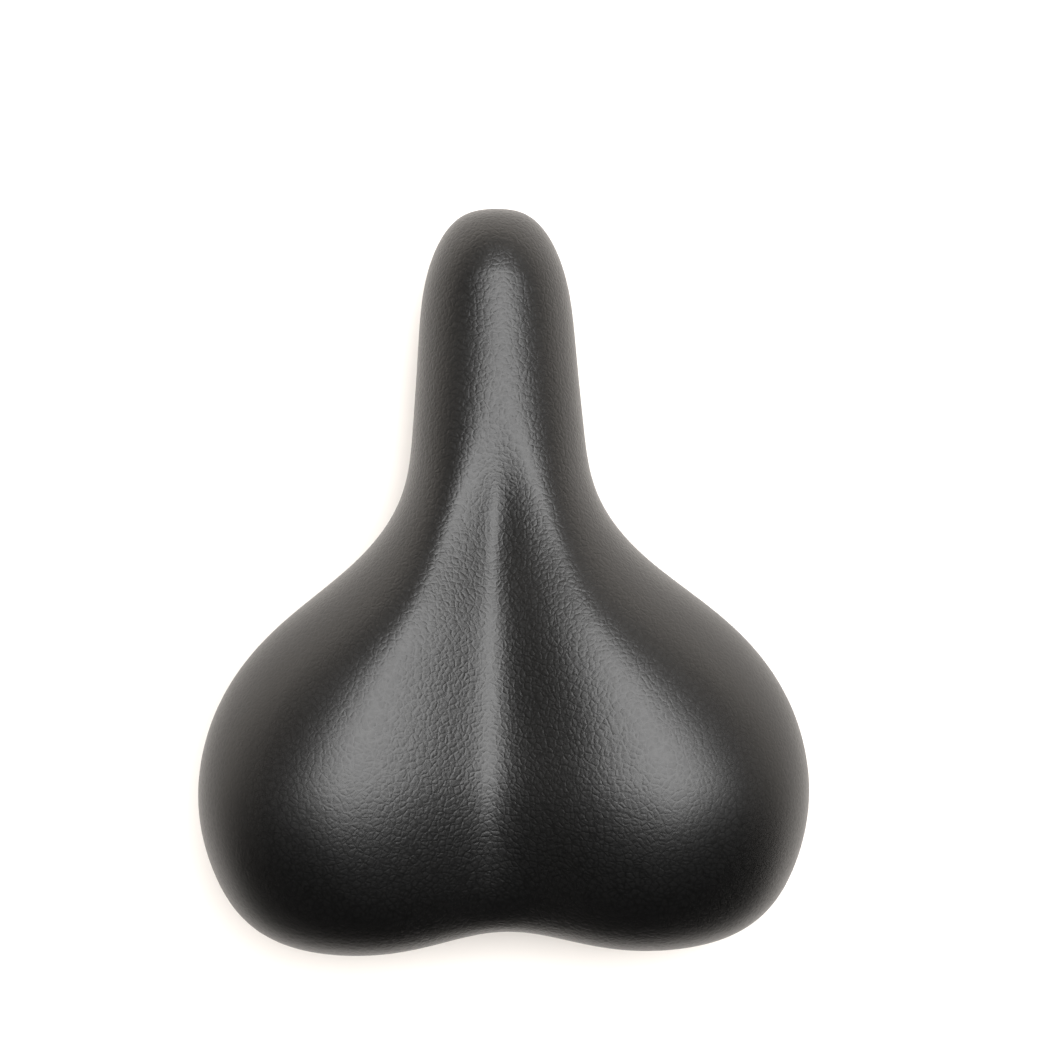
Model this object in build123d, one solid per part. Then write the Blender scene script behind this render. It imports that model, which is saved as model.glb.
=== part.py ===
"""Comfort bicycle saddle: a moulded foam seat on a plastic base shell, carried by one bent steel rail wire.

The seat swings on the cross bar at the front of the rail wire and rests on two elastomer blocks at the back.
Frame: origin midway between the rails in the middle of the clamp zone, on the rail axes; +Y to the nose,
+X to the rider's right, +Z up. Millimetres.
"""

from build123d import *
import os
from math import asin, ceil, copysign, cos, degrees, exp, pi, radians, sin, sqrt, tan

import numpy as np

os.makedirs("parts", exist_ok=True)

# ---------------------------------------------------------------- driving dimensions
# Seat body
HALF_LENGTH = 130.0  # half the seat's length
SEAT_MID_Y = 14.0  # middle of the seat's length, forward of the clamp zone's middle
REAR_BLUNTNESS = 5.0  # superellipse powers of the plan at each end
NOSE_BLUNTNESS = 3.0
SECTION_POWER, UNDER_POWER = 2.4, 5.0  # of a cross section: spacing of its top points, and its underside
UNDER_DROP = 15.0  # from the widest level down to the turned-under edge
REAR_ROLL, NOSE_ROLL = -66.0, 100.0  # where the top starts to roll over to each end, ahead of the middle
# Lines of the seat: distance ahead of its middle, half width, widest level, rise of the two ridges above that
# level, half the distance between the ridges, roundness of the flanks outside them
SEAT_LINES = [
    (-130, 105.0, 42.0, 42.0, 44.0, 2.0),
    (-105, 104.8, 42.0, 43.0, 48.0, 2.0),
    (-80, 105.6, 42.0, 43.5, 50.0, 2.0),
    (-58, 102.7, 41.5, 42.5, 44.0, 1.9),
    (-37, 94.0, 40.5, 40.0, 37.0, 1.7),
    (-16, 76.0, 39.0, 36.5, 28.0, 1.5),
    (4, 51.5, 37.0, 31.5, 20.0, 1.55),
    (25, 35.5, 35.0, 28.8, 12.0, 1.8),
    (50, 30.3, 33.5, 29.5, 3.0, 2.0),
    (80, 29.8, 32.5, 29.5, 0.0, 2.0),
    (105, 31.0, 32.0, 29.0, 0.0, 2.0),
    (130, 30.0, 31.5, 28.0, 0.0, 2.0),
]
# The channel between the ridges: distance ahead of the middle, depth
CHANNEL_LINE = [(-130, 10.0), (-80, 13.5), (-37, 11.5), (4, 6.2), (22, 3.4), (46, 0.0), (130, 0.0)]
CHANNEL_WALL, CHANNEL_SPREAD = 4.0, 0.5  # half width of the channel, and its growth with the ridges' spacing
NOTCH_DEPTH, NOTCH_WIDTH = 8.3, 29.8  # rear notch between the two lobes
COVER_THICK = 1.6
STATIONS = (-0.99, -0.96, -0.87, -0.7, -0.45, -0.2, 0, 0.2, 0.42, 0.65, 0.8, 0.9, 0.96, 0.985)
SECTION_POINTS = 20

# Base shell
WALL = 2.6
FLANGE_THICK = 3.0
FLANGE_NOSE, FLANGE_REAR = 8.0, 13.0  # width of the flange that the cover's hem is stapled to
HEM_SHORT = 1.5  # the hem stops this far outside the flange's inner edge
FLANGE_EDGE = 3.4  # the flange's outer edge, inside the seat's outline
# Top of the shell's raised middle, as straight runs: distance ahead of the seat's middle, height
SHELL_TOP = [(-142, 41.0), (-60, 39.4), (24, 34.2), (142, 34.0)]
RIB_THICK, RIB_DEEP = 1.8, 6.0
LONG_RIBS_X = (-62, -31, -11, 11, 31, 62)
CROSS_RIBS_Y = (-46, -18, 10, 38, 64)
SEAT_PAD_R = 18.5  # flat pads under the shell for the elastomers' upper cups

# Rail wire
RAIL_R = 3.5
RAIL_SPACING = 44.0
CLAMP_HALF = 40.0  # half the length of the straight clamp zone
RAIL_BEND = 30.0
PIVOT_Y, PIVOT_Z = 104.0, 25.0
LOOP_X, LOOP_BEND = 12.0, 7.5  # front loop's corners and their bend radius
RAIL_END_X, RAIL_END_Y = 26.0, -91.0
RUNNING_CLEARANCE = 0.05

# Rear bridge and suspension
BRIDGE_THICK, BRIDGE_TOP = 3.0, 16.0
BRIDGE_HALF_X, BRIDGE_HALF_Y = 60.0, 17.0
BRIDGE_Y = -78.0
BRIDGE_LIP, BRIDGE_LIP_THICK = 4.0, 2.5
ELASTOMER_X = 42.0
ELASTOMER_R, ELASTOMER_WAIST, ELASTOMER_LOBES = 13.0, 10.6, 3
CUP_R, CUP_WALL, CUP_FLOOR = 16.5, 2.0, 2.0
LOWER_CUP_SKIRT, UPPER_CUP_SKIRT = 3.0, 4.0
UPPER_SEAT_Z = 36.5  # flat pad under the base shell
BOLT_R, BOLT_CLEAR = 3.0, 1.2
WASHER_R, WASHER_THICK = 7.5, 1.5
BOLT_HEAD_R, BOLT_HEAD_H, BOLT_SOCKET, BOLT_SOCKET_DEEP = 5.5, 4.5, 4.0, 2.8
NUT_FLAT, NUT_H, NUT_FLANGE_R, NUT_FLANGE_H = 10.0, 5.0, 7.0, 1.2
TRAVEL = 5.0  # squeeze of the elastomers at the limit

# Nose pivot
BLOCK_HALF_X, BLOCK_HALF_Y, BLOCK_WAIST_X = 7.0, 14.0, 4.2
KEEPER_BOTTOM = PIVOT_Z - 5.6
NOSE_SCREW_Y, NOSE_SCREW_R, NOSE_SCREW_IN = 9.4, 2.0, 8.0
SCREW_HEAD_R, SCREW_HEAD_H = 3.7, 2.4

# Staples in the hem
STAPLE_PITCH, STAPLE_IN = 15.0, 1.6  # distance of the staples from the hem's inner edge
STAPLE_WIDE, STAPLE_WIRE_W, STAPLE_WIRE_T, STAPLE_LEG = 9.0, 1.2, 0.7, 2.9

BIG = 400.0


# ---------------------------------------------------------------- lines of the seat
def fair_curve(stations, column):
    """A natural cubic spline through one column of a list of stations, whose first column is the distance."""
    at = np.array([row[0] for row in stations], float)
    value = np.array([row[column] for row in stations], float)
    gap, count = np.diff(at), len(at)
    system, right = np.eye(count), np.zeros(count)
    for i in range(1, count - 1):
        system[i, i - 1 : i + 2] = gap[i - 1], 2 * (gap[i - 1] + gap[i]), gap[i]
        right[i] = 6 * ((value[i + 1] - value[i]) / gap[i] - (value[i] - value[i - 1]) / gap[i - 1])
    bend = np.linalg.solve(system, right)

    def curve(s):
        s = min(max(s, at[0]), at[-1])
        i = min(int(np.searchsorted(at, s, side="right")) - 1, count - 2)
        a, b = (at[i + 1] - s) / gap[i], (s - at[i]) / gap[i]
        bulge = ((a**3 - a) * bend[i] + (b**3 - b) * bend[i + 1]) * gap[i] ** 2 / 6
        return float(a * value[i] + b * value[i + 1] + bulge)

    return curve


half_width = fair_curve(SEAT_LINES, 1)
widest_level = fair_curve(SEAT_LINES, 2)
ridge_rise = fair_curve(SEAT_LINES, 3)
ridge_x = fair_curve(SEAT_LINES, 4)
flank_power = fair_curve(SEAT_LINES, 5)


def shell_top(s):
    return float(np.interp(s, *zip(*SHELL_TOP)))


def smooth_step(start, end, value):
    share = min(max((value - start) / (end - start), 0.0), 1.0)
    return share * share * (3 - 2 * share)


def fullness(share):
    """How full the seat is at a share of its half length: 1 in the middle and 0 at its two ends."""
    power = NOSE_BLUNTNESS if share > 0 else REAR_BLUNTNESS
    return max(0.0, 1 - abs(share) ** power) ** (1 / power)


def roll(s, half_length):
    """Share of the full height that is left near each end, where the top rolls over."""
    past = max((REAR_ROLL - s) / (half_length + REAR_ROLL), (s - NOSE_ROLL) / (half_length - NOSE_ROLL), 0)
    return sqrt(max(0.0, 1 - past**2))


def top_height(x, s, edge, full, inset):
    """Height of the seat's top above its widest level: flanks that rise to two ridges, with a channel between."""
    ridge = max(0.0, ridge_x(s)) * full
    reach = min(1.0, max(0.0, abs(x) - ridge) / (edge - ridge))
    flank = (1 - reach ** flank_power(s)) ** (1 / flank_power(s))
    depth = float(np.interp(s, *zip(*CHANNEL_LINE)))
    channel = depth * exp(-((abs(x) / (CHANNEL_WALL + CHANNEL_SPREAD * ridge_x(s))) ** 2))
    return (ridge_rise(s) - inset - channel) * flank * roll(s, HALF_LENGTH - inset)


def seat_section(share, inset):
    """Points round one cross section of the seat, inset by a skin's thickness."""
    s = (HALF_LENGTH - inset) * share
    full = fullness(share)
    points = []
    for k in range(SECTION_POINTS):
        across, up = cos(2 * pi * k / SECTION_POINTS), sin(2 * pi * k / SECTION_POINTS)
        power = SECTION_POWER if up >= 0 else UNDER_POWER
        edge = (half_width(s) - inset) * full
        x = edge * copysign(abs(across) ** (2 / power), across)
        if up > 0:
            height = top_height(x, s, edge, full, inset)
        else:
            height = -(UNDER_DROP - inset) * full * abs(up) ** (2 / power)
        points.append((x, s + SEAT_MID_Y, widest_level(s) + height))
    return points


def section_spacing():
    """Places of a section's points along its curve, the same for every section so that the sections match."""
    middle = np.array(seat_section(0.0, 0.0) + seat_section(0.0, 0.0)[:1])
    run = np.cumsum(np.linalg.norm(np.diff(middle, axis=0), axis=1))
    return [0.0, *(float(place) for place in run / run[-1])]


def seat_solid(inset):
    """The whole seat body inset by a skin's thickness, its rear notch not cut yet."""
    spacing = section_spacing()
    sections = []
    for share in STATIONS:
        points = [Vector(*p) for p in seat_section(share, inset)]
        sections.append(Wire([Edge.make_spline(points, periodic=True, parameters=spacing)]))
    return Solid.make_loft(sections)


def rear_edge(x):
    """Y of the rear edge of the plan at x, notch included."""
    lean = max(0.0, 1 - abs(x / half_width(-HALF_LENGTH)) ** REAR_BLUNTNESS)
    return SEAT_MID_Y - HALF_LENGTH * lean ** (1 / REAR_BLUNTNESS) + NOTCH_DEPTH * exp(-((x / NOTCH_WIDTH) ** 2))


def notch_cutter(inset):
    """A tall cylinder that cuts the notch between the lobes, and leaves a skin of the given thickness."""
    chord = 1.75 * NOTCH_WIDTH
    radius = (chord**2 + NOTCH_DEPTH**2) / (2 * NOTCH_DEPTH)
    return Pos(0, rear_edge(0) - radius, 0) * Cylinder(radius + inset, BIG)


def plan_outline(count):
    """Evenly spaced points round the seat's widest outline, each with its inward normal."""
    dense = []
    for k in range(720):
        along, across = sin(2 * pi * k / 720), cos(2 * pi * k / 720)
        power = NOSE_BLUNTNESS if along > 0 else REAR_BLUNTNESS
        s = HALF_LENGTH * copysign(abs(along) ** (2 / power), along)
        x = copysign(half_width(s) * abs(across) ** (2 / power), across)
        rear = smooth_step(-40, -120, s)
        dense.append((x, s + SEAT_MID_Y + NOTCH_DEPTH * exp(-((x / NOTCH_WIDTH) ** 2)) * rear))
    dense = np.array(dense + dense[:1])
    run = np.concatenate([[0], np.cumsum(np.hypot(*np.diff(dense, axis=0).T))])
    want = np.linspace(0, run[-1], count, endpoint=False)
    even = np.column_stack([np.interp(want, run, dense[:, i]) for i in (0, 1)])
    ahead = np.roll(even, -1, axis=0) - np.roll(even, 1, axis=0)
    inward = np.column_stack([-ahead[:, 1], ahead[:, 0]]) / np.hypot(*ahead.T)[:, None]
    return even, inward, run[-1]


def flange_width(y):
    return FLANGE_REAR + (FLANGE_NOSE - FLANGE_REAR) * smooth_step(-10, 70, y)


def outline_prism(inset_at, high):
    """An upright prism on the seat's outline, set in by a distance that depends on y."""
    even, inward, _ = plan_outline(44)
    points = [Vector(*(spot + normal * inset_at(spot[1]))) for spot, normal in zip(even, inward)]
    face = Face(Wire([Edge.make_spline(points, periodic=True)]))
    return Solid.extrude(face.moved(Location((0, 0, -20))), Vector(0, 0, high + 20))


def under_shell_top(drop):
    """All the room below the shell's raised top, or below it by a further drop."""
    corners = [Vector(-BIG / 2, s + SEAT_MID_Y, z - drop) for s, z in SHELL_TOP]
    corners += [Vector(-BIG / 2, corners[-1].Y, -40), Vector(-BIG / 2, corners[0].Y, -40)]
    return Solid.extrude(Face(Wire.make_polygon(corners)), Vector(BIG, 0, 0))


# ---------------------------------------------------------------- the seat's soft parts and shell
def shell_ribs():
    """Upright plates, across and along, whose lower edges follow the shell's ceiling."""
    back, front = SEAT_MID_Y - HALF_LENGTH, PIVOT_Y - BLOCK_HALF_Y - 14
    along = Pos(0, (back + front) / 2, 0) * Box(RIB_THICK, front - back, BIG)
    plates = [Pos(x, 0, 0) * along for x in LONG_RIBS_X]
    plates += [Pos(0, y, 0) * Box(BIG, RIB_THICK, BIG) for y in CROSS_RIBS_Y]
    ribs = plates[0].fuse(*plates[1:]) - under_shell_top(WALL + RIB_DEEP)
    for side in (-1, 1):
        ribs -= Pos(side * ELASTOMER_X, BRIDGE_Y, 0) * Cylinder(SEAT_PAD_R - 0.5, BIG)
    return ribs


def cut_pivot(block, low, high, screw_hole_r):
    """Cuts the cross bar's seat, room for the loop's corners and the two screw holes, up to a level."""
    waist = BLOCK_HALF_X - BLOCK_WAIST_X + 1
    tall, middle = high - low, (low + high) / 2
    block -= Pos(0, PIVOT_Y, PIVOT_Z) * Rot(0, 90, 0) * Cylinder(RAIL_R + RUNNING_CLEARANCE, 40)
    for side in (-1, 1):
        notch = Pos(side * (BLOCK_WAIST_X + waist / 2), PIVOT_Y - 1, middle - 0.75)
        block -= notch * Box(waist, 2 * RAIL_R + 4, tall - 1.5)
        block -= Pos(0, PIVOT_Y + side * NOSE_SCREW_Y, middle) * Cylinder(screw_hole_r, tall)
    return block


def make_shell(inner, filling, raised):
    """Base shell: a flange under the cover's hem, a raised hat inside it, ribs, pads and the pivot block."""
    within = outline_prism(lambda y: FLANGE_EDGE, 60)
    flange = (filling & within) - inner.moved(Location((0, 0, FLANGE_THICK)))
    hollow = outline_prism(lambda y: flange_width(y) + WALL, 60) & under_shell_top(WALL)
    block = Pos(0, PIVOT_Y, PIVOT_Z + 4) * Box(2 * BLOCK_HALF_X, 2 * BLOCK_HALF_Y, 8)
    shell = flange + raised - (hollow - shell_ribs()) + block
    shell = cut_pivot(shell, PIVOT_Z - 1, PIVOT_Z + NOSE_SCREW_IN + 0.2, NOSE_SCREW_R + 0.02)
    for side in (-1, 1):
        at = Pos(side * ELASTOMER_X, BRIDGE_Y, 0)
        shell += at * Pos(0, 0, UPPER_SEAT_Z + 1.5) * Cylinder(SEAT_PAD_R, 3.0)
        shell -= at * Cylinder(BOLT_R + 0.05, BIG)
    return shell, flange


def make_seat():
    """Cover, foam pad and base shell, which fit each other face to face."""
    inner = seat_solid(COVER_THICK)
    opening = outline_prism(lambda y: flange_width(y) - HEM_SHORT, 40)
    filling = inner - notch_cutter(COVER_THICK)
    cover = seat_solid(0.0) - notch_cutter(0.0) - filling - opening
    raised = outline_prism(flange_width, 60) & under_shell_top(0) & inner
    shell, flange = make_shell(inner, filling, raised)
    foam = filling - flange - raised
    for side in (-1, 1):
        room = Pos(side * ELASTOMER_X, BRIDGE_Y, nut_seat() + 5) * Cylinder(NUT_FLANGE_R + 1.5, 10)
        foam -= room
        shell -= room
    return cover, foam, shell


def nut_seat():
    """Level of the spot face on top of the shell that a suspension nut sits on."""
    return shell_top(BRIDGE_Y - SEAT_MID_Y) - 0.8


# ---------------------------------------------------------------- rail wire and bridge
def rail_points():
    """Corners of the rail wire's right half, from the middle of its front cross bar to its rear end."""
    x = RAIL_SPACING / 2
    front_tangent = RAIL_BEND * tan(radians(13))
    rear_tangent = RAIL_BEND * tan(radians(11.5))
    end_z = BRIDGE_TOP - BRIDGE_THICK - RAIL_R
    return [
        (LOOP_X, PIVOT_Y, PIVOT_Z),
        (14.6, 78.0, 12.8),
        (x, CLAMP_HALF + front_tangent, 0),
        (x, -CLAMP_HALF - rear_tangent, 0),
        (RAIL_END_X, -CLAMP_HALF - rear_tangent - 22.0, end_z),
        (RAIL_END_X, RAIL_END_Y, end_z),
    ]


def make_rail_wire():
    right = rail_points()
    left = [(-x, y, z) for x, y, z in reversed(right)]
    bends = [RAIL_BEND, RAIL_BEND, RAIL_BEND, RAIL_BEND, LOOP_BEND]
    path = FilletPolyline(*(left + right), radius=(bends + bends[::-1])[: len(left + right) - 2])
    start = Plane(origin=path.position_at(0), z_dir=path.tangent_at(0))
    wire = sweep(start * Circle(RAIL_R), path=path)
    for side in (-1, 1):
        end = Pos(side * RAIL_END_X, RAIL_END_Y, right[-1][2])
        wire += end * Sphere(RAIL_R) & end * Pos(0, -RAIL_R + 1.2, 0) * Box(9, 2 * RAIL_R, 9)
    return wire


def make_bridge():
    """Stamped steel cross member with a raised lip along its front and rear edges."""
    plate = extrude(SlotOverall(2 * BRIDGE_HALF_X, 2 * BRIDGE_HALF_Y), BRIDGE_THICK)
    tall = BRIDGE_THICK + BRIDGE_LIP
    for side in (-1, 1):
        lip = Pos(0, side * (BRIDGE_HALF_Y + BRIDGE_LIP_THICK / 2 - 0.02), tall / 2)
        plate += lip * Box(2 * (BRIDGE_HALF_X - BRIDGE_HALF_Y) - 4, BRIDGE_LIP_THICK, tall)
    for side in (-1, 1):
        plate -= Pos(side * ELASTOMER_X, 0, 0) * Cylinder(BOLT_R + BOLT_CLEAR, 20)
    return Pos(0, BRIDGE_Y, BRIDGE_TOP - BRIDGE_THICK) * plate


def make_welds(wire):
    """Fillet welds along both sides of each rail end, under the bridge."""
    end_z, under = rail_points()[-1][2], BRIDGE_TOP - BRIDGE_THICK
    welds = []
    for side in (-1, 1):
        for edge in (-1, 1):
            spot = Pos(side * RAIL_END_X + edge * (RAIL_R + 0.3), BRIDGE_Y, end_z + 2.1)
            bead = spot * Rot(90, 0, 0) * Cylinder(2.1, 18)
            bead &= Pos(0, BRIDGE_Y, under - 5) * Box(BIG, 40, 10)
            welds.append(bead - wire)
    return welds


# ---------------------------------------------------------------- suspension
def cup(skirt):
    """A dished cup: floor at z 0 upwards, skirt rising from it."""
    body = Pos(0, 0, (CUP_FLOOR + skirt) / 2) * Cylinder(CUP_R, CUP_FLOOR + skirt)
    body -= Pos(0, 0, CUP_FLOOR + skirt / 2 + 0.5) * Cylinder(CUP_R - CUP_WALL, skirt + 1)
    body -= Cylinder(BOLT_R + BOLT_CLEAR, 30)
    return chamfer(body.edges().filter_by(GeomType.CIRCLE).group_by(Axis.Z)[-1], 0.4)


def make_elastomer(height):
    """A waisted rubber block with a bore for the bolt, its foot at z 0."""
    lobe = height / ELASTOMER_LOBES
    bore = BOLT_R + 0.6
    outline = [Edge.make_line((bore, 0), (ELASTOMER_WAIST, 0))]
    for k in range(ELASTOMER_LOBES):
        low, high = k * lobe, (k + 1) * lobe
        middle = (ELASTOMER_R, (low + high) / 2)
        outline.append(Edge.make_three_point_arc((ELASTOMER_WAIST, low), middle, (ELASTOMER_WAIST, high)))
    outline.append(Edge.make_line((ELASTOMER_WAIST, height), (bore, height)))
    outline.append(Edge.make_line((bore, height), (bore, 0)))
    profile = Plane.XZ * Face(Wire(outline))
    return revolve(profile, Axis.Z)


def make_bolt(length):
    """Socket-head bolt pointing up, the underside of its head at z 0."""
    head = Pos(0, 0, -BOLT_HEAD_H / 2) * Cylinder(BOLT_HEAD_R, BOLT_HEAD_H)
    head = fillet(head.edges().group_by(Axis.Z)[0], 1.2)
    hexagon = RegularPolygon(BOLT_SOCKET / 2, 6, major_radius=False)
    socket = Pos(0, 0, -BOLT_HEAD_H) * extrude(hexagon, BOLT_SOCKET_DEEP)
    shank = Pos(0, 0, length / 2) * Cylinder(BOLT_R, length)
    return chamfer((head - socket + shank).edges().group_by(Axis.Z)[-1], 0.6)


def make_nut():
    """Flanged hexagon nut, its flange at z 0."""
    body = extrude(RegularPolygon(NUT_FLAT / 2, 6, major_radius=False), NUT_H)
    body += Pos(0, 0, NUT_FLANGE_H / 2) * Cylinder(NUT_FLANGE_R, NUT_FLANGE_H)
    return body - Cylinder(BOLT_R + 0.02, 30)


def make_washer():
    body = Pos(0, 0, -WASHER_THICK / 2) * Cylinder(WASHER_R, WASHER_THICK)
    body -= Cylinder(BOLT_R + 0.2, 10)
    return chamfer(body.edges().group_by(Axis.Z)[0], 0.3)


def make_keeper():
    """Lower half of the nose pivot, screwed under the shell's block."""
    height = PIVOT_Z - KEEPER_BOTTOM
    plate = Pos(0, PIVOT_Y, PIVOT_Z - height / 2) * Box(2 * BLOCK_HALF_X, 2 * BLOCK_HALF_Y, height)
    plate = fillet(plate.edges().filter_by(Axis.Z), 3.0)
    return cut_pivot(plate, KEEPER_BOTTOM - 1, PIVOT_Z + 2, NOSE_SCREW_R + 0.3)


def make_nose_screw():
    """Pan-head screw pointing up, the underside of its head at z 0."""
    head = Pos(0, 0, -SCREW_HEAD_H / 2) * Cylinder(SCREW_HEAD_R, SCREW_HEAD_H)
    head = fillet(head.edges().group_by(Axis.Z)[0], 1.0)
    for turn in (0, 90):
        head -= Pos(0, 0, -SCREW_HEAD_H) * Rot(0, 0, turn) * Box(3.6, 0.9, 2.6)
    grip = PIVOT_Z - KEEPER_BOTTOM + NOSE_SCREW_IN
    return head + Pos(0, 0, grip / 2) * Cylinder(NOSE_SCREW_R, grip)


# ---------------------------------------------------------------- staples
def make_staples(cover):
    """Wire staples through the hem into the shell's flange, spaced round the underside."""
    _, _, length = plan_outline(8)
    even, inward, _ = plan_outline(2 * ceil(length / STAPLE_PITCH / 2))
    half_wide = (STAPLE_WIDE - STAPLE_WIRE_T) / 2
    staple = Pos(0, 0, -STAPLE_WIRE_T / 2) * Box(STAPLE_WIDE, STAPLE_WIRE_W, STAPLE_WIRE_T)
    staple = fillet(staple.edges().filter_by(Axis.Y).group_by(Axis.Z)[0], 0.5)
    for side in (-1, 1):
        staple += Pos(side * half_wide, 0, STAPLE_LEG / 2) * Box(STAPLE_WIRE_T, STAPLE_WIRE_W, STAPLE_LEG)
    staples = []
    for (x, y), (nx, ny) in zip(even, inward):
        step = flange_width(y) - HEM_SHORT - STAPLE_IN
        ray = Axis((x + nx * step, y + ny * step, -20), (0, 0, 1))
        spot, normal = min(cover.find_intersection_points(ray), key=lambda hit: hit[0].Z)
        up = normal if normal.Z > 0 else -normal
        along = Vector(ny, -nx, 0).cross(up).cross(up)
        staples.append(Plane(origin=spot, x_dir=along, z_dir=up) * staple)
    return staples


# ---------------------------------------------------------------- build and write
def write(name, shape):
    solids = [s for piece in (shape if isinstance(shape, list) else [shape]) for s in piece.solids()]
    body = solids[0] if len(solids) == 1 else Compound(children=solids)
    export_step(body, f"parts/{name}.step")


def main():
    cover, foam, shell = make_seat()
    wire = make_rail_wire()
    write("cover", cover)
    write("foam_pad", foam)
    write("base_shell", shell)
    write("staples", make_staples(cover))
    write("rail_wire", wire)
    write("rear_bridge", make_bridge())
    write("rail_welds", make_welds(wire))
    write("nose_keeper", make_keeper())
    screw_places = [Pos(0, PIVOT_Y + side * NOSE_SCREW_Y, KEEPER_BOTTOM) for side in (-1, 1)]
    write("nose_screws", [place * make_nose_screw() for place in screw_places])
    lower_seat = BRIDGE_TOP + CUP_FLOOR
    upper_seat = UPPER_SEAT_Z - CUP_FLOOR
    head_level = BRIDGE_TOP - BRIDGE_THICK - WASHER_THICK
    bolt_length = nut_seat() + NUT_H + 1.5 - head_level
    for name, side in (("left", -1), ("right", 1)):
        at = Pos(side * ELASTOMER_X, BRIDGE_Y, 0)
        write(f"lower_cup_{name}", at * Pos(0, 0, BRIDGE_TOP) * cup(LOWER_CUP_SKIRT))
        write(f"upper_cup_{name}", at * Pos(0, 0, UPPER_SEAT_Z) * Rot(180, 0, 0) * cup(UPPER_CUP_SKIRT))
        write(f"elastomer_{name}", at * Pos(0, 0, lower_seat) * make_elastomer(upper_seat - lower_seat))
        write(f"suspension_bolt_{name}", at * Pos(0, 0, head_level) * make_bolt(bolt_length))
        write(f"bolt_washer_{name}", at * Pos(0, 0, BRIDGE_TOP - BRIDGE_THICK) * make_washer())
        write(f"flange_nut_{name}", at * Pos(0, 0, nut_seat()) * make_nut())
    swing = degrees(asin(TRAVEL / (PIVOT_Y - BRIDGE_Y)))
    print(f"suspension hinge limit {swing:.3f} degrees, rail wire {wire.volume / (pi * RAIL_R**2):.1f} mm long")


main()
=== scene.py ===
import math

import bpy
import numpy as np
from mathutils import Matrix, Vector


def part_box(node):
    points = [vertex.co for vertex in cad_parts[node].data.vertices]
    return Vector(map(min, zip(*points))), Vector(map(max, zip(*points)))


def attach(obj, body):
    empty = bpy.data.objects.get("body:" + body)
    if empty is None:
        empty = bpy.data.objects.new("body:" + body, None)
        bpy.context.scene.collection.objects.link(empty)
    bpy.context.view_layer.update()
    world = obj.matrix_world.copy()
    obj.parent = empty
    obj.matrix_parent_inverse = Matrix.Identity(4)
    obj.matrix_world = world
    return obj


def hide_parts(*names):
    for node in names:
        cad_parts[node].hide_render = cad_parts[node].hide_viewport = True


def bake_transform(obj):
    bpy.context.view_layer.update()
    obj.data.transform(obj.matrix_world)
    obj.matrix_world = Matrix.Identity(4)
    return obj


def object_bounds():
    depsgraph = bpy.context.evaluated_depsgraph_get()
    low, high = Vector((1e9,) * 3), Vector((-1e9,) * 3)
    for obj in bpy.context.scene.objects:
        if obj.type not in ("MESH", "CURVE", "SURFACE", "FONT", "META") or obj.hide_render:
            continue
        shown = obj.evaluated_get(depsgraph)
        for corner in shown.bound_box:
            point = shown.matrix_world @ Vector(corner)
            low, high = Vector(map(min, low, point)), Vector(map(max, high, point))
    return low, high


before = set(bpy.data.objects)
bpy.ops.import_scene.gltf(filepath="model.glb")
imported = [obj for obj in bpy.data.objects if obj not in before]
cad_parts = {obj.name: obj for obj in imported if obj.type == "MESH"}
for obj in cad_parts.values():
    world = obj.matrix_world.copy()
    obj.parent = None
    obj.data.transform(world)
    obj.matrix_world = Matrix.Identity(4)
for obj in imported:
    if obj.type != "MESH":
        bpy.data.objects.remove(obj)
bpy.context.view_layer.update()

MM = 0.001

# ---------------------------------------------------------------- the seat's lines, in millimetres
SEAT_LOW, SEAT_HIGH = (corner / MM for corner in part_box("cover"))
END_ROUNDING = 1.6  # the CAD cover's ends are cut this much short of their full roundness, on average
END_UNEVEN = 0.3  # and the rear end less than the nose, by twice this much
HALF_LENGTH = (SEAT_HIGH.y - SEAT_LOW.y) / 2 + END_ROUNDING
SEAT_MID_Y = (SEAT_HIGH.y + SEAT_LOW.y) / 2 + END_UNEVEN
REAR_BLUNTNESS, NOSE_BLUNTNESS = 5.0, 3.0  # powers of the outline: 2 is an ellipse, more is squarer
SECTION_POWER, UNDER_POWER = 2.4, 5.0  # the same for a section's upper and lower half
UNDER_DROP = 15.0  # from the widest level down to the underside
REAR_ROLL, NOSE_ROLL = -66.0, 100.0  # where the top starts to roll over to each end
# Distance ahead of the seat's middle, half width, widest level, rise of the two ridges above that level,
# half the distance between the ridges, roundness of the flanks outside them
SEAT_LINES = [
    (-130, 105.0, 42.0, 42.0, 44.0, 2.0),
    (-105, 104.8, 42.0, 43.0, 48.0, 2.0),
    (-80, 105.6, 42.0, 43.5, 50.0, 2.0),
    (-58, 102.7, 41.5, 42.5, 44.0, 1.9),
    (-37, 94.0, 40.5, 40.0, 37.0, 1.7),
    (-16, 76.0, 39.0, 36.5, 28.0, 1.5),
    (4, 51.5, 37.0, 31.5, 20.0, 1.55),
    (25, 35.5, 35.0, 28.8, 12.0, 1.8),
    (50, 30.9, 33.5, 29.5, 3.0, 2.0),
    (80, 30.6, 32.5, 29.5, 0.0, 2.0),
    (105, 32.0, 32.0, 29.0, 0.0, 2.0),
    (130, 31.5, 31.5, 28.0, 0.0, 2.0),
]
NOTCH_DEPTH, NOTCH_WIDTH = 8.3, 29.8  # of the hollow in the middle of the rear edge
NOTCH_START, NOTCH_FULL = -40, -120  # it deepens rearwards between these
COVER_THICK = 1.6
HEM_NOSE, HEM_REAR = 6.5, 11.5  # width of the turned-under hem
HEM_TURN = -0.5  # where on a side of the block the cover has come round to the underside
WAIST_REAR, WAIST_NOSE = -24, 56  # widths under the seat change between these
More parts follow.
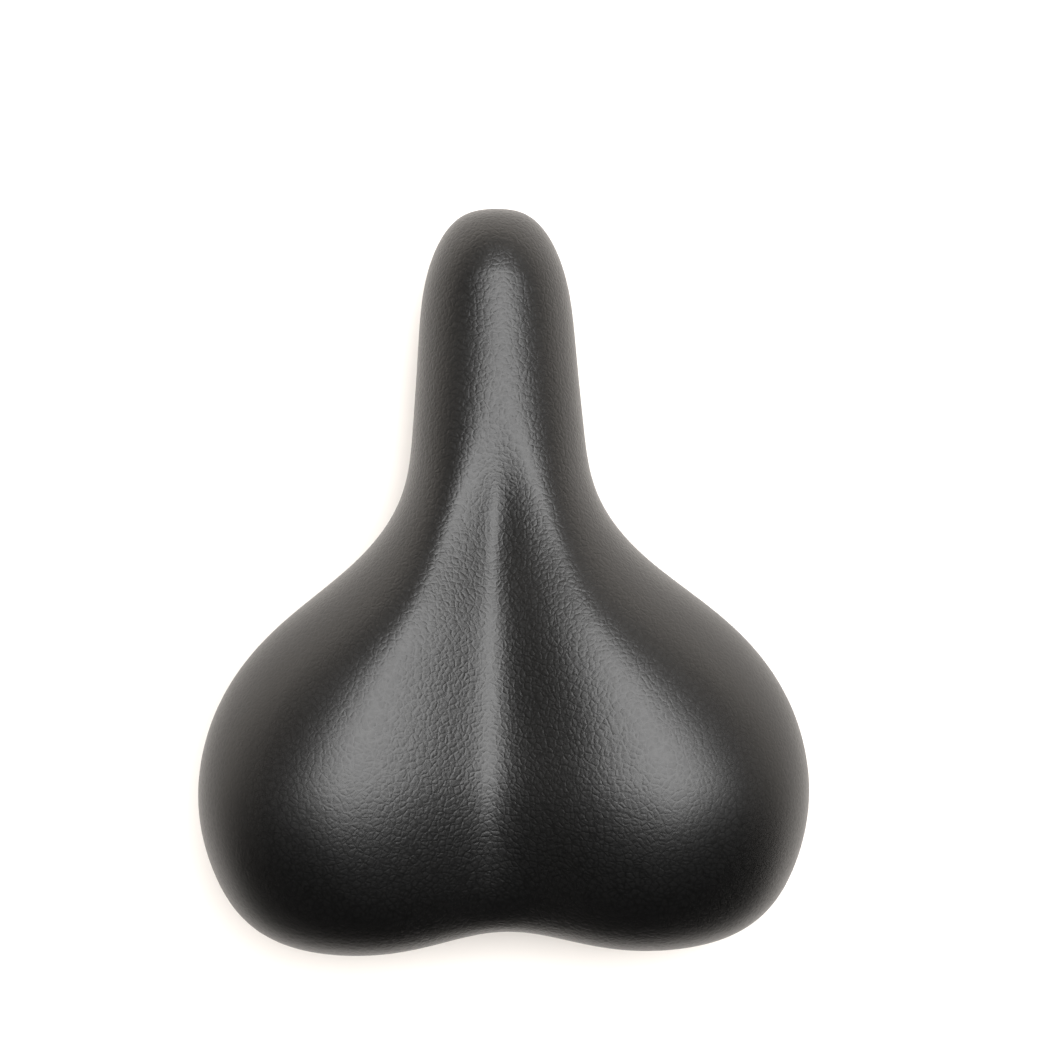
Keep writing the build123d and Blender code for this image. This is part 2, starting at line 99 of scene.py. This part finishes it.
# The lengthwise channel: distance ahead of the middle, middle of its floor, how far from there 37 % of its
# depth is left on the left and on the right, its depth
CHANNEL_LINES = [
    (-130, -4.0, 29.0, 27.0, 11.0),
    (-105, -4.0, 29.0, 27.0, 14.5),
    (-80, -4.0, 29.0, 27.0, 15.5),
    (-58, -3.5, 27.0, 26.0, 15.0),
    (-37, -3.0, 24.0, 22.0, 12.8),
    (-16, -2.5, 18.0, 17.0, 9.5),
    (4, -2.0, 12.0, 12.0, 6.2),
    (22, -1.0, 8.0, 9.0, 3.6),
    (36, 0.0, 7.0, 8.0, 1.1),
    (48, 0.0, 7.0, 7.0, 0.0),
    (130, 0.0, 7.0, 7.0, 0.0),
]
CHANNEL_LEFT_POWER, CHANNEL_RIGHT_POWER = 1.5, 1.9  # more is a flatter floor and a steeper wall


def fair_curve(stations, column):
    """A natural cubic spline through one column of a list of stations, whose first column is the distance."""
    at = np.array([row[0] for row in stations], float)
    value = np.array([row[column] for row in stations], float)
    gap, count = np.diff(at), len(at)
    system, right = np.eye(count), np.zeros(count)
    for i in range(1, count - 1):
        system[i, i - 1 : i + 2] = gap[i - 1], 2 * (gap[i - 1] + gap[i]), gap[i]
        right[i] = 6 * ((value[i + 1] - value[i]) / gap[i] - (value[i] - value[i - 1]) / gap[i - 1])
    bend = np.linalg.solve(system, right)

    def curve(s):
        s = np.clip(s, at[0], at[-1])
        i = np.clip(np.searchsorted(at, s, side="right") - 1, 0, count - 2)
        a, b = (at[i + 1] - s) / gap[i], (s - at[i]) / gap[i]
        bent = (a**3 - a) * bend[i] + (b**3 - b) * bend[i + 1]
        return a * value[i] + b * value[i + 1] + bent * gap[i] ** 2 / 6

    return curve


half_width, widest_level, ridge_rise, ridge_x, flank_power = (
    fair_curve(SEAT_LINES, column) for column in range(1, 6)
)
channel_middle, channel_left, channel_right, channel_drop = (
    fair_curve(CHANNEL_LINES, column) for column in range(1, 5)
)


def smooth_step(start, end, value):
    share = np.clip((value - start) / (end - start), 0, 1)
    return share * share * (3 - 2 * share)


def rear_to_nose(rear, nose, s):
    """A width that has one value at the rear, another at the nose and changes smoothly at the waist."""
    return rear + (nose - rear) * smooth_step(WAIST_REAR, WAIST_NOSE, s)


def channel_depth(x, s):
    """Depth of the lengthwise channel, its right wall steeper than its left one."""
    off = x - channel_middle(s)
    wall = np.where(off < 0, channel_left(s), channel_right(s))
    curve = np.where(off < 0, CHANNEL_LEFT_POWER, CHANNEL_RIGHT_POWER)
    return np.maximum(0, channel_drop(s)) * np.exp(-(np.abs(off / wall) ** curve))


def top_height(x, s, full):
    """Height of the top above the widest level: flanks that rise to two ridges, with a channel between."""
    ridge, edge = np.maximum(0, ridge_x(s)) * full, half_width(s) * full
    reach = np.clip((np.abs(x) - ridge) / (edge - ridge), 0, 1)
    flank = (1 - reach ** flank_power(s)) ** (1 / flank_power(s))
    past_rear = (REAR_ROLL - s) / (HALF_LENGTH + REAR_ROLL)
    past_nose = (s - NOSE_ROLL) / (HALF_LENGTH - NOSE_ROLL)
    rolled = np.clip(np.maximum(past_rear, past_nose), 0, 1)
    return (ridge_rise(s) - channel_depth(x, s)) * flank * np.sqrt(1 - rolled**2)


def underside(x, s):
    """Height of the cover's underside at a point of the plan, with no account of the notch at the rear."""
    plan = np.where(s > 0, NOSE_BLUNTNESS, REAR_BLUNTNESS)
    fullness = np.maximum(0, 1 - np.abs(s / HALF_LENGTH) ** plan) ** (1 / plan)
    depth = np.maximum(0, fullness**UNDER_POWER - np.abs(x / half_width(s)) ** UNDER_POWER)
    return widest_level(s) - UNDER_DROP * depth ** (1 / UNDER_POWER)


def seat_surface(direction):
    """Points of the seat's skin, in millimetres, in directions seen from its middle."""
    a, b, c = direction.T
    section = np.where(c >= 0, SECTION_POWER, UNDER_POWER)
    plan = np.where(b > 0, NOSE_BLUNTNESS, REAR_BLUNTNESS)
    across = np.abs(a) ** section + np.abs(c) ** section
    size = (across ** (plan / section) + np.abs(b) ** plan) ** (-1 / plan)
    fullness = np.maximum(1e-6, 1 - np.abs(size * b) ** plan) ** (1 / plan)
    s = HALF_LENGTH * size * b
    x = half_width(s) * size * a
    height = np.where(c >= 0, top_height(x, s, fullness), UNDER_DROP * size * c)
    z = widest_level(s) + height
    notch = NOTCH_DEPTH * np.exp(-((x / NOTCH_WIDTH) ** 2))
    s_notched = s + notch * smooth_step(NOTCH_START, NOTCH_FULL, s)
    turned_under = smooth_step(0, HEM_TURN, c)
    z += turned_under * (np.minimum(z, underside(x, s_notched)) - z)
    return np.column_stack([x, s_notched + SEAT_MID_Y, z])


# ---------------------------------------------------------------- working on meshes
def deselect():
    if bpy.context.object and bpy.context.object.mode != "OBJECT":
        bpy.ops.object.mode_set(mode="OBJECT")
    bpy.ops.object.select_all(action="DESELECT")


def added(name):
    """The object that the last primitive made, named and alone in the selection."""
    piece = bpy.context.object
    piece.name = piece.data.name = name
    return piece


def edit(piece, select_mode="FACE"):
    deselect()
    bpy.context.view_layer.objects.active = piece
    piece.select_set(True)
    bpy.ops.object.mode_set(mode="EDIT")
    bpy.ops.mesh.select_mode(type=select_mode)
    bpy.ops.mesh.select_all(action="DESELECT")
    bpy.ops.object.mode_set(mode="OBJECT")


def select_where(piece, items, test):
    """Selects the vertices, edges or faces of a piece that pass a test, and opens edit mode on them."""
    for item in getattr(piece.data, items):
        item.select = bool(test(item))
    bpy.ops.object.mode_set(mode="EDIT")


def modify(piece, kind, **settings):
    modifier = piece.modifiers.new(kind.title(), kind)
    for name, value in settings.items():
        setattr(modifier, name, value)
    deselect()
    bpy.context.view_layer.objects.active = piece
    piece.select_set(True)
    bpy.ops.object.modifier_apply(modifier=modifier.name)


def points_of(piece):
    flat = np.empty(len(piece.data.vertices) * 3)
    piece.data.vertices.foreach_get("co", flat)
    return flat.reshape(-1, 3)


def move_points(piece, points):
    piece.data.vertices.foreach_set("co", points.ravel())
    piece.data.update()


def shade_smooth(piece, angle=35):
    deselect()
    bpy.context.view_layer.objects.active = piece
    piece.select_set(True)
    bpy.ops.object.shade_smooth_by_angle(angle=math.radians(angle))


# ---------------------------------------------------------------- cover
COVER_CUTS = (47, 67, 17)  # cuts across, along and up the block that the cover starts from
RIM_LOW, RIM_HALVINGS = 3.0, 30  # how far down the hem's end is looked for, and how often that is halved


def cut_along(piece, axis, count):
    """Divides the edges that run along one axis evenly."""
    edit(piece, "EDGE")
    place = piece.data.vertices

    def runs_along(edge):
        start, end = (place[i].co for i in edge.vertices)
        return abs((end - start)[axis]) > 1e-4

    select_where(piece, "edges", runs_along)
    bpy.ops.mesh.subdivide(number_cuts=count)
    bpy.ops.object.mode_set(mode="OBJECT")


def divided_block(name, cuts, keep_bottom=False):
    """A block from -1 to 1 each way with evenly cut edges, open below unless told otherwise."""
    deselect()
    bpy.ops.mesh.primitive_cube_add(size=2)
    block = added(name)
    if not keep_bottom:
        edit(block)
        select_where(block, "polygons", lambda face: face.normal.z < -0.9)
        bpy.ops.mesh.delete(type="FACE")
    for axis, count in enumerate(cuts):
        cut_along(block, axis, count)
    return block


def hem_end(direction):
    """How far down the block's side each of its lowest points lies, so that the hem has its width."""
    rim = direction.copy()
    low, high = np.zeros(len(rim)), np.full(len(rim), RIM_LOW)
    rim[:, 2] = 0
    outline = seat_surface(rim)
    hem = rear_to_nose(HEM_REAR, HEM_NOSE, outline[:, 1] - SEAT_MID_Y)
    for _ in range(RIM_HALVINGS):
        middle = (low + high) / 2
        rim[:, 2] = -middle
        inset = np.hypot(*(seat_surface(rim) - outline)[:, :2].T)
        low, high = np.where(inset < hem, middle, low), np.where(inset < hem, high, middle)
    return middle


def make_cover():
    cover = divided_block("saddle_cover", COVER_CUTS)
    direction = points_of(cover)
    under = direction[:, 2] < -1e-6
    depth = hem_end(direction[under])
    direction[under, 2] *= depth
    move_points(cover, seat_surface(direction) * MM)
    modify(cover, "SUBSURF", levels=1, render_levels=1)
    modify(cover, "SOLIDIFY", thickness=COVER_THICK * MM, offset=-1)
    shade_smooth(cover, 60)
    return cover


# ---------------------------------------------------------------- foam pad
FOAM_CUTS = (35, 51, 9)
FOAM_GAP, LOW_FOAM_GAP = 1.9, 2.6  # from the cover's outside to the foam, above and below its widest level
LOW_FOAM = -0.1  # on the block that the foam starts from, where its lower part begins
SHELL_TOP = [(-142, 41.8), (-60, 40.2), (24, 35.0), (142, 34.8)]  # distance ahead of the middle, height
FLANGE_TOP = 4.9  # of the base shell's flange, above the cover's underside
FLANGE_NOSE, FLANGE_REAR = 8.0, 13.0  # the flange's width
BED_RISE_START, BED_RISE_END = 9, 5  # how far outside the flange's inner edge the bed rises to the shell's top
BED_IN_ACROSS, BED_IN_ALONG = 0.93, 0.96  # shares of x and s at which the bed reads the underside's level


def edge_distance(x, s):
    """Distance of a point of the plan from the seat's outline, across or along, whichever is less."""
    plan = np.where(s > 0, NOSE_BLUNTNESS, REAR_BLUNTNESS)
    along = HALF_LENGTH * np.clip(1 - np.abs(x / half_width(s)) ** plan, 0, 1) ** (1 / plan) - np.abs(s)
    across = half_width(s) * np.clip(1 - np.abs(s / HALF_LENGTH) ** plan, 0, 1) ** (1 / plan) - np.abs(x)
    return np.minimum(along, across)


def make_foam():
    foam = divided_block("foam_padding", FOAM_CUTS, keep_bottom=True)
    direction = points_of(foam)
    points = seat_surface(direction)
    x, s = points[:, 0], points[:, 1] - SEAT_MID_Y
    flange = rear_to_nose(FLANGE_REAR, FLANGE_NOSE, s)
    bed = underside(x * BED_IN_ACROSS, s * BED_IN_ALONG) + FLANGE_TOP
    risen = smooth_step(flange - BED_RISE_START, flange - BED_RISE_END, edge_distance(x, s))
    bed += risen * (np.interp(s, *zip(*SHELL_TOP)) - bed)
    low = direction[:, 2] <= LOW_FOAM
    points[:, 2] = np.where(low, np.maximum(points[:, 2], bed), points[:, 2])
    points[:, 0] -= np.where(low, np.sign(x) * np.minimum(np.abs(x), LOW_FOAM_GAP), 0)
    points[:, 1] -= np.where(low, s * LOW_FOAM_GAP / HALF_LENGTH, 0)
    move_points(foam, points * MM)
    normals = np.array([vertex.normal for vertex in foam.data.vertices])
    inward = np.where(low[:, None], 0.0, FOAM_GAP)
    move_points(foam, (points - normals * inward) * MM)
    modify(foam, "SUBSURF", levels=1, render_levels=1)
    shade_smooth(foam, 60)
    return foam


# ---------------------------------------------------------------- elastomer blocks
ELASTOMER_X, ELASTOMER_Y = 42.0, -78.0
ELASTOMER_LOW, ELASTOMER_HIGH = 18.0, 34.5
ELASTOMER_R, ELASTOMER_WAIST, ELASTOMER_BORE = 13.0, 10.6, 3.6  # radii of the lobes, between them, inside
ELASTOMER_LOBES, ELASTOMER_SIDES, ELASTOMER_CUTS = 3, 64, 35


def make_elastomer(side):
    """A rubber block of three round lobes with a bore, cut from a cylinder."""
    deselect()
    tall = ELASTOMER_HIGH - ELASTOMER_LOW
    bpy.ops.mesh.primitive_cylinder_add(
        vertices=ELASTOMER_SIDES, radius=1, depth=1, end_fill_type="NOTHING"
    )
    block = added(f"elastomer_block_{side}")
    cut_along(block, 2, ELASTOMER_CUTS)
    points = points_of(block)
    share = (points[:, 2] + 0.5) * ELASTOMER_LOBES
    swell = np.sqrt(np.clip(1 - (2 * (share - np.floor(share)) - 1) ** 2, 0, 1))
    radius = ELASTOMER_WAIST + (ELASTOMER_R - ELASTOMER_WAIST) * swell
    points[:, :2] *= radius[:, None]
    points[:, 2] = ELASTOMER_LOW + (points[:, 2] + 0.5) * tall
    move_points(block, (points + (ELASTOMER_X * (1 if side == "right" else -1), ELASTOMER_Y, 0)) * MM)
    modify(block, "SOLIDIFY", thickness=(ELASTOMER_WAIST - ELASTOMER_BORE) * MM, offset=-1)
    shade_smooth(block, 50)
    return block


# ---------------------------------------------------------------- materials
def grey(value, warmth=0.0):
    return (value * (1 + warmth), value, value * (1 - warmth), 1)


class Value:
    """A number, colour, vector or shader in a node tree. Python's operators on numbers add Math nodes."""

    def __init__(self, nodes, socket):
        self.nodes, self.socket = nodes, socket

    def math(self, operation, *others):
        inputs = dict(enumerate((self, *others)))
        return self.nodes.node("ShaderNodeMath", {"operation": operation}, inputs)

    def __add__(self, other):
        return self.math("ADD", other)

    def __mul__(self, other):
        return self.math("MULTIPLY", other)

    def __sub__(self, other):
        return self.math("SUBTRACT", other)

    def __rsub__(self, other):
        return self.nodes.node("ShaderNodeMath", {"operation": "SUBTRACT"}, {0: other, 1: self})

    __radd__, __rmul__ = __add__, __mul__


class Nodes:
    """A node tree, and one method that adds any node to it."""

    def __init__(self, tree):
        self.tree = tree

    def node(self, kind, settings=None, inputs=None, output=0):
        """Adds a node, sets it up, fills or links its sockets and returns one of its outputs."""
        made = self.tree.nodes.new(kind)
        for name, value in (settings or {}).items():
            if name == "stops":
                self.set_stops(made.color_ramp, value)
            else:
                setattr(made, name, value)
        self.fill(made, inputs or {})
        return Value(self, made.outputs[output])

    def fill(self, made, inputs):
        """Links a node's sockets to values from other nodes, and sets the rest."""
        for name, value in inputs.items():
            if isinstance(value, Value):
                self.tree.links.new(value.socket, made.inputs[name])
            else:
                made.inputs[name].default_value = value

    def set_stops(self, ramp, stops):
        while len(ramp.elements) < len(stops):
            ramp.elements.new(0.5)
        for element, (position, colour) in zip(ramp.elements, stops):
            element.position = position
            element.color = colour if isinstance(colour, tuple) else grey(colour)

    def ramp(self, value, *stops):
        return self.node("ShaderNodeValToRGB", {"stops": stops}, {0: value})

    def axes(self, place):
        """A place or direction along each axis."""
        return [self.node("ShaderNodeSeparateXYZ", {}, {0: place}, i) for i in range(3)]


class Finish(Nodes):
    """A material and its node tree. Constants go straight onto the shader's sockets."""

    def __init__(self, name, **constants):
        self.material = bpy.data.materials.new(name)
        self.material.use_nodes = True
        super().__init__(self.material.node_tree)
        self.shader = self.tree.nodes["Principled BSDF"]
        self.set(**constants)
        self.place = self.node("ShaderNodeTexCoord", output="Object")

    def noise(self, scale, detail=3.0, roughness=0.5, place=None):
        inputs = {"Vector": place or self.place, "Scale": scale, "Detail": detail, "Roughness": roughness}
        return self.node("ShaderNodeTexNoise", {}, inputs)

    def cells(self, scale, feature="F1", place=None, **inputs):
        """Distance in a field of cells, scale cells to the metre."""
        inputs = {"Vector": place or self.place, "Scale": scale, **inputs}
        return self.node("ShaderNodeTexVoronoi", {"feature": feature}, inputs, "Distance")

    def stretched(self, scale):
        return self.node("ShaderNodeMapping", {}, {"Vector": self.place, "Scale": scale})

    def wobbled(self, scale, amount):
        """Object coordinates pushed about by noise."""
        push = self.node("ShaderNodeTexNoise", {}, {"Vector": self.place, "Scale": scale}, "Color")
        halves = {0: push, 1: (0.5, 0.5, 0.5)}
        middled = self.node("ShaderNodeVectorMath", {"operation": "SUBTRACT"}, halves)
        scaled = self.node("ShaderNodeVectorMath", {"operation": "SCALE"}, {0: middled, "Scale": amount})
        return self.node("ShaderNodeVectorMath", {"operation": "ADD"}, {0: self.place, 1: scaled})

    def colour_between(self, mask, first, second):
        inputs = {0: mask, 6: first, 7: second}
        return self.node("ShaderNodeMix", {"data_type": "RGBA"}, inputs, 2)

    def bump(self, height, distance, strength):
        inputs = {"Height": height, "Distance": distance, "Strength": strength}
        return self.node("ShaderNodeBump", {}, inputs)

    def set(self, **inputs):
        self.fill(self.shader, {name.replace("_", " "): value for name, value in inputs.items()})


def cover_leather():
    """Soft pebbles about 1.1 mm across, wrinkled across the neck and the channel, smoother towards the rim."""
    finish = Finish("pebbled_leatherette", IOR=1.5, Specular_IOR_Level=0.5)
    place = finish.wobbled(300, 0.0012)
    pebble = finish.cells(880, "SMOOTH_F1", place, Smoothness=0.5, Randomness=1.0)
    fold = finish.cells(470, "DISTANCE_TO_EDGE", place, Randomness=1.0)
    fold = finish.ramp(fold, (0.0, 0.0), (0.22, 1.0))
    wrinkle = finish.noise(1.0, 2.5, 0.6, finish.stretched((330, 900, 500)))
    x, y, _ = finish.axes(finish.place)
    centre = finish.ramp(x.math("ABSOLUTE") * 10, (0.2, 1.0), (0.75, 0.35))
    neck = finish.ramp((y - 0.03).math("ABSOLUTE") * 10, (0.2, 1.0), (0.75, 0.3))
    grain = (1 - pebble) * 0.75 + fold * 0.55 + finish.noise(2600, 2.0) * 0.15
    height = grain * centre + wrinkle * centre * neck * 1.1
    patch = finish.noise(18, 3.0)
    finish.set(
        Base_Color=finish.colour_between(grain, grey(0.0008), grey(0.0022)),
        Roughness=finish.ramp(patch * 0.5 + grain * 0.5, (0.2, 0.35), (0.9, 0.45)),
        Normal=finish.bump(height, 0.00015, 0.55),
    )
    return finish.material


def moulded_plastic(name, tone):
    finish = Finish(name, IOR=1.5)
    grain = finish.noise(2400, 4.0, 0.6)
    scuff = finish.noise(35, 4.0, 0.6)
    finish.set(
        Base_Color=finish.colour_between(scuff, grey(tone * 0.8), grey(tone * 1.3)),
        Roughness=finish.ramp(grain * 0.6 + scuff * 0.4, (0.3, 0.46), (0.7, 0.62)),
        Normal=finish.bump(grain, 0.00006, 0.7),
    )
    return finish.material


def powder_coat():
    finish = Finish("black_powder_coat", IOR=1.5, Coat_Roughness=0.25)
    orange_peel = finish.noise(900, 2.0)
    scuff = finish.noise(60, 5.0, 0.65)
    finish.set(
        Base_Color=finish.colour_between(scuff, grey(0.010), grey(0.022)),
        Roughness=finish.ramp(scuff, (0.3, 0.3), (0.75, 0.44)),
        Normal=finish.bump(orange_peel, 0.00005, 0.5),
    )
    return finish.material


def plated_steel(name, tone, rough):
    finish = Finish(name)
    smear = finish.noise(140, 4.0, 0.6)
    tooling = finish.noise(1500, 2.0, place=finish.stretched((1, 1, 0.08)))
    finish.set(
        Base_Color=finish.colour_between(smear, grey(tone, 0.02), grey(tone * 0.78, 0.05)),
        Roughness=finish.ramp(smear * 0.6 + tooling * 0.4, (0.3, rough), (0.75, rough + 0.16)),
        Metallic=finish.ramp(smear, (0.0, 1.0), (1.0, 0.96)),
        Normal=finish.bump(tooling, 0.00003, 0.5),
    )
    return finish.material


def rubber():
    finish = Finish("elastomer_rubber", IOR=1.5)
    bloom = finish.noise(70, 4.0, 0.6)
    speck = finish.noise(1900, 2.0)
    finish.set(
        Base_Color=finish.colour_between(bloom, grey(0.018), grey(0.042)),
        Roughness=finish.ramp(bloom, (0.3, 0.6), (0.7, 0.78)),
        Normal=finish.bump(speck, 0.00005, 0.6),
    )
    return finish.material


def foam():
    finish = Finish("open_cell_foam", IOR=1.4)
    pores = finish.cells(900, "F1", Randomness=1.0)
    stain = finish.noise(22, 3.0)
    finish.set(
        Base_Color=finish.colour_between(pores, grey(0.05), grey(0.20, 0.03)),
        Roughness=finish.ramp(stain, (0.3, 0.85), (0.7, 0.95)),
        Normal=finish.bump(pores, 0.0003, 0.9),
    )
    return finish.material


def pale_floor():
    finish = Finish("pale_studio_floor", IOR=1.4)
    mottle = finish.noise(9, 3.0)
    finish.set(
        Base_Color=finish.colour_between(mottle, grey(0.87, 0.05), grey(0.90, 0.05)),
        Roughness=finish.ramp(mottle, (0.3, 0.7), (0.7, 0.8)),
    )
    return finish.material


def give(piece, material):
    piece.data.materials.clear()
    piece.data.materials.append(material)


# ---------------------------------------------------------------- the pieces
cover = make_cover()
give(cover, cover_leather())
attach(cover, "seat")
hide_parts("cover")

foam_block = make_foam()
give(foam_block, foam())
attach(foam_block, "seat")
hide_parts("foam_pad")

block_rubber = rubber()
for side in ("left", "right"):
    block = make_elastomer(side)
    give(block, block_rubber)
    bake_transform(block)
    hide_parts(f"elastomer_{side}")

shell_plastic = moulded_plastic("black_shell_plastic", 0.022)
cup_plastic = moulded_plastic("cup_nylon", 0.04)
coat = powder_coat()
steel = plated_steel("zinc_plated_steel", 0.62, 0.28)
staple_steel = plated_steel("galvanised_staple", 0.55, 0.34)
NODE_FINISHES = {
    "base_shell": shell_plastic,
    "nose_keeper": shell_plastic,
    "staples": staple_steel,
    "rail_wire": coat,
    "rear_bridge": coat,
    "rail_welds": coat,
    "nose_screws": steel,
}
for side in ("left", "right"):
    for part in ("lower_cup", "upper_cup"):
        NODE_FINISHES[f"{part}_{side}"] = cup_plastic
    for part in ("suspension_bolt", "bolt_washer", "flange_nut"):
        NODE_FINISHES[f"{part}_{side}"] = steel
for name, material in NODE_FINISHES.items():
    give(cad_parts[name], material)


# ---------------------------------------------------------------- floor, light and camera
FLOOR_WIDE, FLOOR_LONG, FLOOR_AHEAD, FLOOR_GAP = 1.0, 0.9, 0.25, 0.001


def make_floor():
    """A white table top that stops short behind the seat, where the room is dark."""
    deselect()
    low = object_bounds()[0][2]
    bpy.ops.mesh.primitive_grid_add(
        x_subdivisions=8, y_subdivisions=8, size=1, location=(0, FLOOR_AHEAD, low - FLOOR_GAP)
    )
    floor = added("studio_floor")
    bpy.ops.transform.resize(value=(FLOOR_WIDE, FLOOR_LONG, 1.0))
    bpy.ops.object.transform_apply(location=True, rotation=False, scale=True)
    give(floor, pale_floor())


def make_light(name, size, place, aim, power):
    lamp = bpy.data.lights.new(name, "AREA")
    lamp.shape, lamp.size, lamp.size_y = "RECTANGLE", *size
    lamp.energy = power
    light = bpy.data.objects.new(name, lamp)
    bpy.context.scene.collection.objects.link(light)
    light.location = place
    light.rotation_euler = (Vector(aim) - Vector(place)).to_track_quat("-Z", "Y").to_euler()


# Brightness of the air by the height of the direction that it is seen in
AIR_LEVELS = [(0.0, 1.1), (0.03, 1.05), (0.18, 0.5), (0.36, 0.3), (0.62, 0.06), (0.9, 0.2)]
AIR_GREEN, AIR_BLUE = 0.92, 0.84  # beside a red of 1
# Its strength from the rear to the nose, by the direction along the seat
AIR_STRENGTH = {"From Min": -0.6, "From Max": 0.9, "To Min": 0.03, "To Max": 2.6}


def make_world():
    """Warm air, bright low down, where the white table runs on, and dark above it, as in a dim room."""
    world = bpy.data.worlds.new("studio_air")
    bpy.context.scene.world = world
    world.use_nodes = True
    air = Nodes(world.node_tree)
    _, along, up = air.axes(air.node("ShaderNodeTexCoord", output="Generated"))
    stops = [(at, (level, level * AIR_GREEN, level * AIR_BLUE, 1)) for at, level in AIR_LEVELS]
    strength = air.node("ShaderNodeMapRange", {}, {"Value": along, **AIR_STRENGTH})
    glow = air.tree.nodes["Background"]
    air.fill(glow, {"Color": air.ramp(up, *stops), "Strength": strength})
    backdrop = air.node("ShaderNodeBackground", {}, {"Color": grey(1)})
    seen = air.node("ShaderNodeLightPath", output="Is Camera Ray")
    mixed = air.node("ShaderNodeMixShader", {}, {0: seen, 1: Value(air, glow.outputs[0]), 2: backdrop})
    air.fill(air.tree.nodes["World Output"], {"Surface": mixed})


CAMERA_TARGET = Vector((0.00745, 0.0319, 0.040))
CAMERA_DISTANCE, CAMERA_ELEVATION, CAMERA_ROLL = 0.523, math.radians(86), math.radians(-1.0)
CAMERA_LENS, CLIP_START = 52, 0.01


def make_camera():
    """A camera almost straight above the seat, its nose away from the camera's foot."""
    camera = bpy.data.objects.new("camera", bpy.data.cameras.new("camera"))
    bpy.context.scene.collection.objects.link(camera)
    camera.data.lens = CAMERA_LENS
    camera.data.clip_start = CLIP_START
    away = Vector((0, -math.cos(CAMERA_ELEVATION), math.sin(CAMERA_ELEVATION)))
    camera.rotation_euler = away.to_track_quat("Z", "Y").to_euler()
    camera.rotation_euler.rotate_axis("Z", CAMERA_ROLL)
    camera.location = CAMERA_TARGET + CAMERA_DISTANCE * away
    bpy.context.scene.camera = camera


make_floor()
make_light("overhead_softbox", size=(1.1, 1.1), place=(0.18, 0.20, 1.13), aim=(0, 0.02, 0), power=31)
make_world()
make_camera()
bpy.context.scene.view_settings.view_transform = "Standard"
